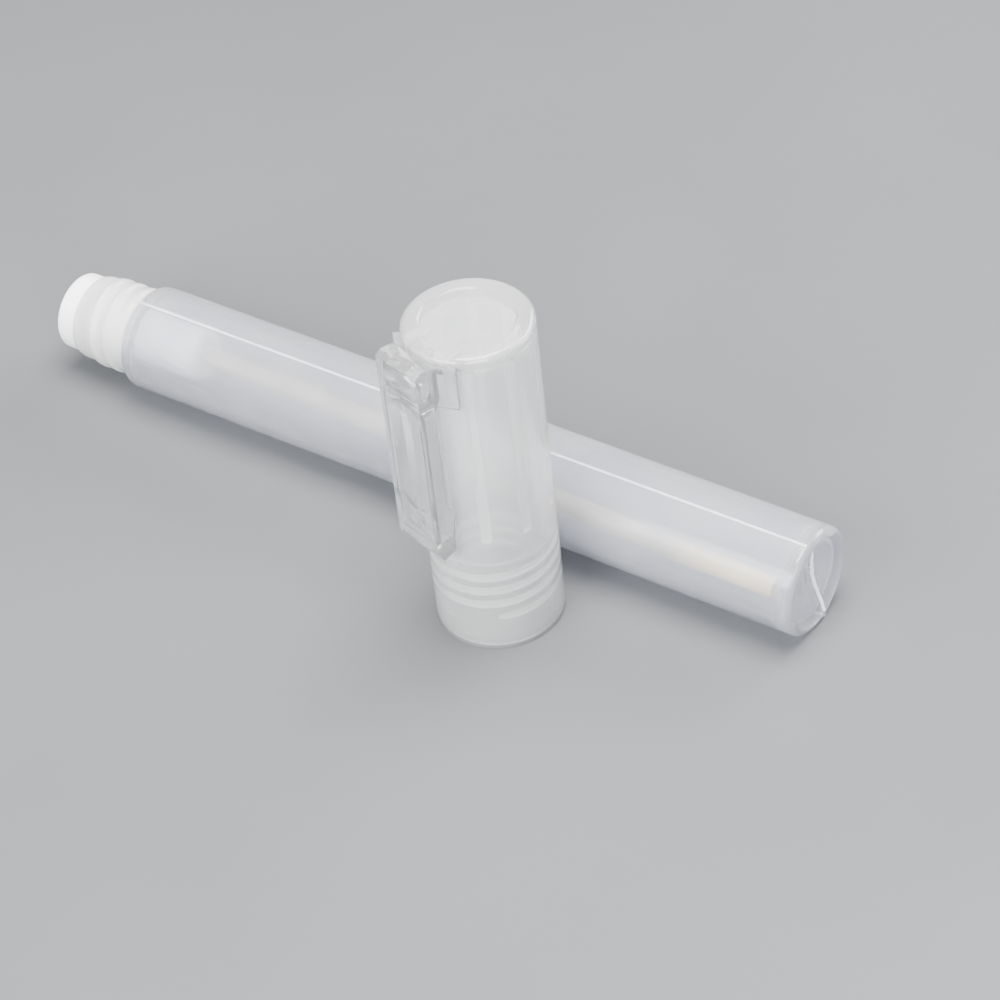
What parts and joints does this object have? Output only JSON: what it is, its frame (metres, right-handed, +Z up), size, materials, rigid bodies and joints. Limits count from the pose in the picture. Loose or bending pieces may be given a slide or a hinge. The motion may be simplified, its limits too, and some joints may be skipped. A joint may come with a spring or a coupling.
{
  "type": "pocket mist sprayer",
  "caption": "Slim translucent pocket mist sprayer lying down, finger pump and dip tube inside, with its screw cap and clear pocket clip standing beside it.",
  "frame": {"origin": "on the surface it stands and lies on, under the middle of the whole outline of bottle and cap", "axes": "+X along the bottle from the spray button towards its base, +Z up from the surface, the cap and its clip on the -Y side"},
  "size_m": [0.1104, 0.0328, 0.044],
  "materials": {
    "bottle_plastic": "translucent polypropylene with a fine frosted texture",
    "cap_plastic": "translucent polypropylene, satin outside",
    "clip_plastic": "water-clear polystyrene, polished",
    "button_plastic": "opaque white polypropylene, satin",
    "pump_plastic": "white polypropylene",
    "seal_plastic": "soft white polyethylene",
    "tube_plastic": "cream polyethylene tube",
    "spring_steel": "drawn stainless wire",
    "ball_steel": "ground stainless ball"
  },
  "bodies": {
    "bottle": {"bottle": "bottle_plastic", "neck_gasket": "seal_plastic", "pump_housing": "pump_plastic", "pump_retainer": "pump_plastic", "stem_seal": "seal_plastic", "return_spring": "spring_steel", "dip_tube": "tube_plastic"},
    "pump_button": {"actuator": "button_plastic", "nozzle_insert": "button_plastic", "stem": "pump_plastic", "piston": "seal_plastic", "poppet": "pump_plastic"},
    "valve_ball": {"inlet_ball": "ball_steel"},
    "cap": {"cap_shell": "cap_plastic", "clip_root": "clip_plastic"},
    "clip": {"clip_arm": "clip_plastic"}
  },
  "joints": [
    {"name": "pump_press", "type": "slide", "parent": "bottle", "child": "pump_button", "axis": [1, 0, 0], "range_m": [0, 0.0016], "stiffness_N_per_m": 2500, "springref_m": -0.0012, "deforming": ["return_spring"]},
    {"name": "valve_ball_lift", "type": "slide", "parent": "bottle", "child": "valve_ball", "axis": [-1, 0, 0], "range_m": [0, 0.0005]},
    {"name": "cap_lift", "type": "slide", "parent": "bottle", "child": "cap", "axis": [0, 0, 1], "range_m": [0, 0.06]},
    {"name": "clip_flex", "type": "hinge", "parent": "cap", "child": "clip", "pos_m": [0.0177, -0.01463, 0.038], "axis": [-0.9711, 0.2385, 0], "range_deg": [0, 3], "stiffness_Nm_per_rad": 1.5}
  ]
}
